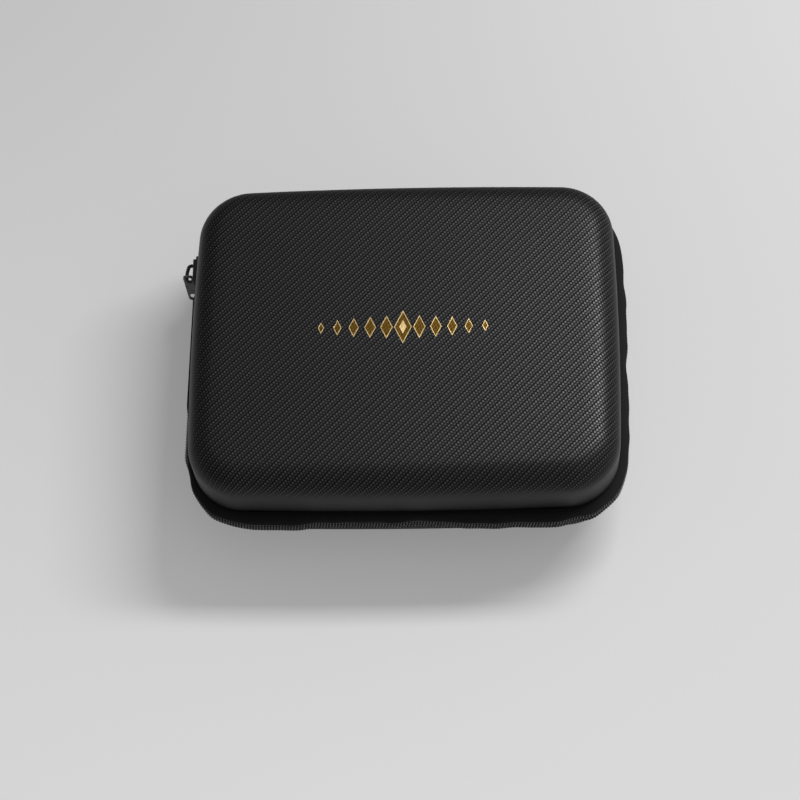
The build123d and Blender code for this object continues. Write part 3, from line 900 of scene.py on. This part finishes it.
seam_offset = -(bend_offset + 0.55 * tape_seam)
for body, up in halves:
    stitch_row(body + "_tape_stitches", along_path(around, seam_offset, up * tape_top), body, "zip_tape",
               seam_thread)

# %% [markdown]
# ## The cloth hinge
#
# At the back a strip of heavy cloth is sewn to both flanges and folds when the lid opens. It is the section of
# the two tapes, joined by the stretch that faces backwards. A thinner strip lines it inside.

# %% The spine and its liner
spine_rows = 9
back_heights = [tape_rise * (1 - 2 * i / spine_rows) for i in range(1, spine_rows)]
upper_half = [(a, h) for a, h in section if h >= tape_rise - 1e-9]
spine_ring = (upper_half + [(-coil_thickness - tape, h) for h in back_heights]
              + [(a, -h) for a, h in reversed(upper_half)]
              + [(-coil_thickness, h) for h in reversed(back_heights)] + upper_half[:1])
liner_low, liner_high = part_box("spine_liner")


def spine_place(u, v):
    """Up the outer face, over each flange and back, from the right end to the left."""
    a, h = on_ring(spine_ring, v)
    return Vector(((1 - 2 * u) * spine_half, half_depth + a, zip_z + h))


def liner_place(u, v):
    """Down one face of the liner and up the other."""
    side = 0.45 if v <= 0.5 else -0.45
    return Vector((liner_low.x + (liner_high.x - liner_low.x) * u,
                   (liner_low.y + liner_high.y) / 2 + side * tape,
                   liner_low.z + (liner_high.z - liner_low.z) * (1 - abs(2 * v - 1))))


def hinge_piece(name, place, rows, width, material, slot, node):
    bm = shaped_grid(spine_steps, rows, place, 2 * spine_half, width)
    piece = make_piece(name, bm, material, None, slot, node)
    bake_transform(piece)


spine_width = sum(dist(a, b) for a, b in zip(spine_ring, spine_ring[1:]))
hinge_piece("spine_cloth", spine_place, len(spine_ring) - 1, spine_width, spine_cloth, "outer_fabric",
            "spine_fabric")
hinge_piece("spine_lining", liner_place, 24, 4 * flange_under, lining_knit, "lining_fabric", "spine_liner")
for body, up in halves:
    stitch_row(body + "_spine_stitches",
               [(Vector((x, half_depth + seam_offset, zip_z + up * tape_top)), Vector((1, 0, 0)))
                for x in np.arange(-spine_half + 2 * mm, spine_half, stitch_pitch)], body, "zip_tape")

# %% [markdown]
# ## Bindings inside the flanges
#
# A flat band with soft edges covers the flange, from the lining's wall out to the flange's edge, with a seam
# down its middle.

# %% The binding ribbons
binding, binding_dip = 0.6 * mm, 0.22 * mm
binding_shares = (0.0, 0.04, 0.25, 0.5, 0.75, 0.96, 1.0)
binding_ring = ([(share, True) for share in binding_shares]
                + [(share, False) for share in reversed(binding_shares)] + [(0.0, True)])


def binding_ribbon(name, up, body, node):
    lower = flange_under - binding

    def across(column, share, h):
        inner = Vector(inner_dome.at(*column))
        point = inner + (zip_loop(column, flange_edge) - inner) * share
        return Vector((point.x, point.y, zip_z + up * h))

    def place(u, v):
        share, below = on_ring(binding_ring, v)
        swell = binding_dip * abs(2 * share - 1) ** 3
        return across(on_ring(columns, u), share, lower + swell if below else flange_under)

    bm = shaped_grid(len(columns) - 1, len(binding_ring) - 1, place, 0.62, 13 * mm)
    make_piece(name, bm, ribbon_cloth, body, "binding_tape", node)
    spaced = []
    for a, b in zip(columns, columns[1:]):
        point, way = across(a, 0.5, lower), Vector(inner_dome.at(*b)) - Vector(inner_dome.at(*a))
        if way.length > 0 and (not spaced or (point - spaced[-1][0]).length > stitch_pitch):
            spaced.append((point, way.to_3d()))
    stitch_row(name + "_stitches", spaced, body, "binding_tape")


for body, up in halves:
    binding_ribbon(body + "_binding_ribbon", up, body, body + "_binding")

# %% [markdown]
# ## The net pocket in the lid
#
# The pocket is a sheet of knitted net, sewn down on three sides under a ribbon and held at its open edge by a
# gathered elastic band. The net is a honeycomb of faces whose edges a Wireframe modifier turns into yarn.

# %% The net
panel_low, panel_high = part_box("net_panel")
net_z = (panel_low.z + panel_high.z) / 2
net_cell, net_strand, net_sag, net_margin = 2.7 * mm, 0.5 * mm, 0.36 * mm, 1.6 * mm
net_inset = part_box("lid_cover")[1].x - panel_high.x


def inside_net(x, y, margin):
    """Whether a point lies within the net's outline, less a margin."""
    inset = net_inset + margin
    far_x, far_y = half_width - dome_inset_x - inset, half_depth - dome_inset_y - inset
    radius = dome_corner - inset
    over_x, over_y = max(abs(x) - (far_x - radius), 0), max(-y - (far_y - radius), 0)
    bow = 1 - bow_x / far_x * (y / far_y) ** 2
    return (-far_y < y <= panel_high.y - margin and abs(x) < far_x * bow
            and hypot(over_x, over_y) < radius)


def net_piece():
    bm = bmesh.new()
    step = net_cell * sqrt(3) / 2
    side = int((panel_high.x - panel_low.x) / net_cell / 2) + 1
    for row in range(int((panel_high.y - panel_low.y) / step) + 1):
        y = panel_high.y - (row + 0.6) * step
        for cell in range(-side, side + 1):
            x = (cell + (0.5 if row % 2 else 0)) * net_cell
            if inside_net(x, y, net_margin):
                bmesh.ops.create_circle(bm, cap_ends=True, segments=6, radius=net_cell / sqrt(3),
                                        matrix=Matrix.Translation((x, y, net_z)))
    bmesh.ops.remove_doubles(bm, verts=bm.verts, dist=0.2 * mm)
    for vert in bm.verts:
        vert.co.z -= (net_sag * cos(vert.co.x / panel_high.x * pi / 2)
                      * smoothstep(panel_low.y, panel_low.y + 60 * mm, vert.co.y))
    piece = make_piece("lid_net", bm, net_yarn, "lid", "net_fabric", "net_panel")
    yarn = piece.modifiers.new("yarn", "WIREFRAME")
    yarn.thickness = net_strand
    yarn.use_even_offset = False
    return piece


lid_net = net_piece()

# %% The ribbon round the net and the elastic along its open edge
frame_low, frame_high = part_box("net_frame")
frame_width = 7 * mm
# shares across and down the ribbon's section, from its outer edge over its top and back below
frame_ring = ((0, 0.5), (0.12, 0.92), (0.3, 1.0), (0.5, 0.94), (0.7, 1.0), (0.88, 0.92), (1, 0.5),
              (0.88, 0.08), (0.5, 0), (0.12, 0.08), (0, 0.5))


def net_ribbon():
    """A ribbon along three sides of the net, from its open edge on the right round to the left."""
    x, front = panel_high.x - bow_x / 2, panel_low.y + bow_y / 2
    path = Path([(x, panel_high.y), (x, front), (-x, front), (-x, panel_high.y)], [dome_corner - net_inset] * 2)

    def place(u, v):
        point, out = path.at(path.length * u)
        a, b = on_ring(frame_ring, v)
        bow = bow_x / 2 * cos(point.y / panel_low.y * pi / 2) if abs(point.x) > x * 0.9 else 0
        bow += bow_y / 2 * cos(point.x / x * pi / 2) if point.y < panel_low.y * 0.9 else 0
        height = frame_high.z - (frame_high.z - frame_low.z) * b
        return point + out * (bow - frame_width * a) + Vector((0, 0, height))

    bm = shaped_grid(net_ribbon_steps, len(frame_ring) - 1, place, path.length, 2 * frame_width)
    make_piece("net_ribbon", bm, ribbon_cloth, "lid", "binding_tape", "net_frame")
    stitches = along_path(path, -frame_width * 0.5, frame_low.z - zip_z - 0.02 * mm)
    stitch_row("net_ribbon_stitches", stitches, "lid", "binding_tape")


net_ribbon()
elastic_low, elastic_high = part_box("net_elastic")
elastic_middle, elastic_half = (elastic_low + elastic_high) / 2, (elastic_high - elastic_low) / 2
gather_pitch = 1.5 * mm
sway, sway_length = 0.25 * mm, 9 * mm


def squared(value):
    """Pull a cosine or sine outwards, so that a circle turns into a rounded square."""
    return copysign(abs(value) ** 0.35, value)


def elastic_place(u, v):
    """A band with fine ribs across it, pulled in a little between them."""
    x = elastic_middle.x + elastic_half.x * (2 * u - 1)
    thinned = 0.81 + 0.19 * sin(2 * pi * x / gather_pitch)
    turn = 2 * pi * v
    y = elastic_middle.y + sway * sin(x / sway_length)
    return Vector((x, y + elastic_half.y * squared(cos(turn)),
                   elastic_middle.z + elastic_half.z * thinned * squared(sin(turn))))


bm = shaped_grid(int(2 * elastic_half.x / gather_pitch * 6), 16, elastic_place, 2 * elastic_half.x, 20 * mm)
make_piece("net_elastic_band", bm, elastic_cloth, "lid", "elastic_band", "net_elastic")

# %% [markdown]
# ## Shells, linings and the foam insert
#
# The shells and the insert are closed-cell foam and keep the model's shape. The linings are modelled again as
# smooth skins. The insert's flocked face gets softly rounded edges, because flock rolls over a cut edge.

# %% Round the edges of a frame's part
sharp_edge = radians(35)


def rounded_copy(node, width, segments=2):
    """A CAD node's mesh with its sharp edges rounded, and a value of 1 there, where a finish wears."""
    bm = bmesh.new()
    bm.from_mesh(nodes[node].data)
    bmesh.ops.remove_doubles(bm, verts=bm.verts, dist=2e-6)
    bmesh.ops.dissolve_limit(bm, angle_limit=radians(0.5), verts=bm.verts, edges=bm.edges)
    worn = bm.verts.layers.float.new("worn")
    sharp = [e for e in bm.edges if len(e.link_faces) == 2 and e.calc_face_angle(0) > sharp_edge]
    made = bmesh.ops.bevel(bm, geom=sharp, offset=width, offset_type="OFFSET", segments=segments,
                           profile=0.5, affect="EDGES", clamp_overlap=True, material=-1)
    for vert in made["verts"]:
        vert[worn] = 1.0
    return bm


def rounded_piece(name, node, width, material, body, slot, segments=2, flat_above=40):
    """A rounded copy whose large flat faces keep their own normals, so that only its edges shade round."""
    bm = rounded_copy(node, width, segments)
    even = make_piece(name, bm, material, body, slot, node, flat_above=flat_above).modifiers.new(
        "even faces", "WEIGHTED_NORMAL")
    even.mode = "FACE_AREA"
    even.weight = 100
    even.keep_sharp = True


# %% Foam insert, linings and shells
lining = 0.6 * mm


def finish_node(name, material):
    """Give a CAD node a finish and leave its shape alone."""
    nodes[name].data.materials.clear()
    nodes[name].data.materials.append(material)


def lining_skin(name, up, radius, body, node):
    """The lining of one half: its face towards the inside, and its thickness behind that."""
    low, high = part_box(node)
    foot, top = sorted((up * (low.z - zip_z), up * (high.z - zip_z)))
    top -= lining
    rows = [(0.0, foot + (top - radius - foot) * share, 1) for share in (0, 0.25, 0.5, 0.75)]
    rows += [(inset, h, 1) for inset, h in arc_rows(radius, top - radius, radius, 0, 90, 10)]
    rows += [(radius, top, 1 - i / 12) for i in range(1, 13)]

    def place(column, row):
        inset, h, scale = row
        x, y = inner_dome.at(*columns[column], inset)
        return Vector((x * scale, y * scale, zip_z + up * h))

    bm = skin_grid(rows, place, up, -1)
    thicken(make_piece(name, bm, lining_knit, body, "lining_fabric", node), lining)


lining_skin("lid_lining_skin", 1, 7.4 * mm, "lid", "lid_lining")
lining_skin("base_lining_skin", -1, 5.4 * mm, "base", "base_lining")
for name, foam in (("base_shell", eva_foam), ("lid_shell", eva_foam), ("insert_tray", insert_foam)):
    finish_node(name, foam)
rounded_piece("insert_flock_face", "insert_facing", 0.35 * mm, insert_flock, "base", "lining_fabric", 3, 50)

# %% [markdown]
# ## The slider, its tab and the stops
#
# The castings keep the model's shape. Only their edges are rounded here, to catch a line of light.

# %% Castings
rounded_piece("slider_casting", "slider_body", 0.16 * mm, slider_paint, "slider", "zip_metal")
finish_node("slider_crown", slider_paint)
rounded_piece("tab_plate", "pull_tab", 0.28 * mm, tab_paint, "tab", "tab_metal", 3)
for stop, body in (("top_stop_lid", "lid"), ("top_stop_base", "base"), ("bottom_stop", "base")):
    make_piece(stop + "_clip", rounded_copy(stop, 0.22 * mm), slider_paint, body, "zip_metal", stop)

# %% [markdown]
# ## The gold ornament
#
# A row of lozenges is stamped in foil on the lid. Each starts as a circle of four points and is inset to part
# its rim from its field, and the rim is raised and rounded.

# %% Stamp the lozenges
foil_low, foil_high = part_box("foil_ornament")
lozenge_pitch = 8.4 * mm
lozenge_shares = (1, 0.70, 0.65, 0.58, 0.47, 0.35)
lozenge_heights = [(foil_high.y - foil_low.y) * share for share in lozenge_shares]
lozenge_shape = 0.48  # width over height
rim_width, thin_rim = 0.42 * mm, 0.336 * mm
small_lozenge = 6 * mm  # up to this height the rim is thin
inner_share = 0.42  # height of the lozenge within the middle one
rim_steps = ((0.15, 0.06 * mm), (0.7, 0.0), (0.15, -0.04 * mm))  # share of its width, rise


def stamp(bm, x, height, rim, field=1):
    """One lozenge with a raised rim."""
    made = bmesh.ops.create_circle(bm, cap_ends=True, segments=4, radius=height / 2,
                                   matrix=Matrix.Translation((x, 0, foil_low.z + 0.02 * mm)))
    bmesh.ops.scale(bm, verts=made["verts"], vec=(lozenge_shape, 1, 1), space=Matrix.Translation((-x, 0, 0)))
    face = made["verts"][0].link_faces[0]
    face.normal_update()
    if face.normal.z < 0:
        face.normal_flip()
    for share, rise in rim_steps:
        bmesh.ops.inset_region(bm, faces=[face], thickness=rim * share, depth=rise, use_boundary=True,
                               use_even_offset=True)
    face.material_index = field


bm = bmesh.new()
for place_in_row, height in enumerate(lozenge_heights):
    for side in ((1,) if place_in_row == 0 else (1, -1)):
        rim = rim_width if height > small_lozenge else thin_rim
        stamp(bm, side * place_in_row * lozenge_pitch, height, rim)
before = set(bm.verts)
stamp(bm, 0.0, lozenge_heights[0] * inner_share, thin_rim, field=0)
bmesh.ops.translate(bm, verts=[v for v in bm.verts if v not in before], vec=(0, 0, 0.05 * mm))
# the rims take the light gold, a painted highlight, and the faces the dark brown, a painted reflection
ornament = make_piece("gold_lozenges", bm, gold_rim_painted_highlight, "lid", "gold_foil", "foil_ornament", flat_above=20)
ornament.data.materials.append(gold_field_painted_reflection)

# %% [markdown]
# ## Floor, light and camera
#
# The case hovers over a pale floor, which keeps only its soft shadow. A long narrow softbox behind and to the
# right makes the shadow and the sheen across the weave, a faint one lifts the left side, and the world,
# darker on the left and behind, fills the rest. What is seen of the floor glows a little, so that its shadow
# stays pale.

# %% The floor
floor_drop, floor_size = 14 * mm, 12.0
floor_glow = 0.30


def floor_material():
    material = bpy.data.materials.new("pale_floor")
    material.use_nodes = True
    material.node_tree.nodes.clear()
    m = Recipe(material.node_tree)
    # painted light: the floor's colour is lighter towards the front and the left, darker behind and on the
    # right
    across = m.along(m.add("TexCoord").outputs["Object"], (-0.45, -0.90, 0))
    colour = m.blended(m.ramp(across, -0.25, 0.6), grey(202), grey(244))
    surface = m.add("BsdfPrincipled", Base_Color=colour, Roughness=0.9, Specular_IOR_Level=0.1)
    glow = m.add("Emission", colour, 1.0)
    rays = m.add("LightPath").outputs
    seen = m.maths("ADD", rays["Is Camera Ray"], rays["Is Glossy Ray"])
    seen = m.times(m.maths("ADD", seen, rays["Is Transmission Ray"]), floor_glow)
    lit = m.add("MixShader", seen, surface.outputs[0], glow.outputs[0])
    below = m.add("NewGeometry").outputs["Backfacing"]
    mixed = m.add("MixShader", below, lit.outputs[0], m.add("BsdfTransparent").outputs[0])
    m.add("OutputMaterial", Surface=mixed.outputs[0])
    return material


bm = bmesh.new()
bmesh.ops.create_grid(bm, x_segments=2, y_segments=2, size=floor_size / 2,
                      matrix=Matrix.Translation((0, 0, -floor_drop)))
floor = make_piece("floor", bm, floor_material(), None, None)

# %% The lamps and the world
middle = Vector((0, 0, zip_z))


def softbox(name, place, aim, size, power):
    lamp = bpy.data.lights.new(name, "AREA")
    lamp.shape = "RECTANGLE"
    lamp.size, lamp.size_y = size
    lamp.energy = power
    box = bpy.data.objects.new(name, lamp)
    box.location = place
    box.rotation_mode = "QUATERNION"
    box.rotation_quaternion = (Vector(aim) - Vector(place)).to_track_quat("-Z", "Y")
    scene.collection.objects.link(box)


softbox("key", (0.58, 0.41, 0.96), (0.58, 0, zip_z), (0.80, 0.14), 12.2)
softbox("left", (-1.2, -0.2, 0.30), middle, (0.3, 0.9), 0.3)

world = bpy.data.worlds.new("studio")
scene.world = world
world.use_nodes = True
sky = Recipe(world.node_tree)
way = sky.add("SeparateXYZ", sky.add("TexCoord").outputs["Generated"]).outputs
rightwards = sky.blended(sky.ramp(way["X"], -0.75, 0.70), grey(110), grey(204))
backwards = sky.blended(sky.ramp(way["Y"], 0.1, 0.9), 1.0, 0.45)
sky.fill(world.node_tree.nodes["Background"], {"Color": sky.scaled(rightwards, backwards), "Strength": 1.08})
scene.view_settings.view_transform = "Standard"

# %% The camera
camera_turn, camera_height, camera_roll = (radians(a) for a in (7.29, 64.72, -7.41))
camera_place = (-3.73 * mm, -20.02 * mm, 1.11997)  # aside, down and back, as the camera sees it
axes = (Matrix.Rotation(camera_turn, 4, "Z") @ Matrix.Rotation(pi / 2 - camera_height, 4, "X")
        @ Matrix.Rotation(camera_roll, 4, "Z"))

camera_data = bpy.data.cameras.new("camera")
camera_data.lens = 95.45
camera_data.sensor_width = 36
camera_data.clip_start = 0.01
camera_data.clip_end = 100
camera = bpy.data.objects.new("camera", camera_data)
camera.matrix_world = Matrix.Translation(middle) @ axes @ Matrix.Translation(camera_place)
scene.collection.objects.link(camera)
scene.camera = camera
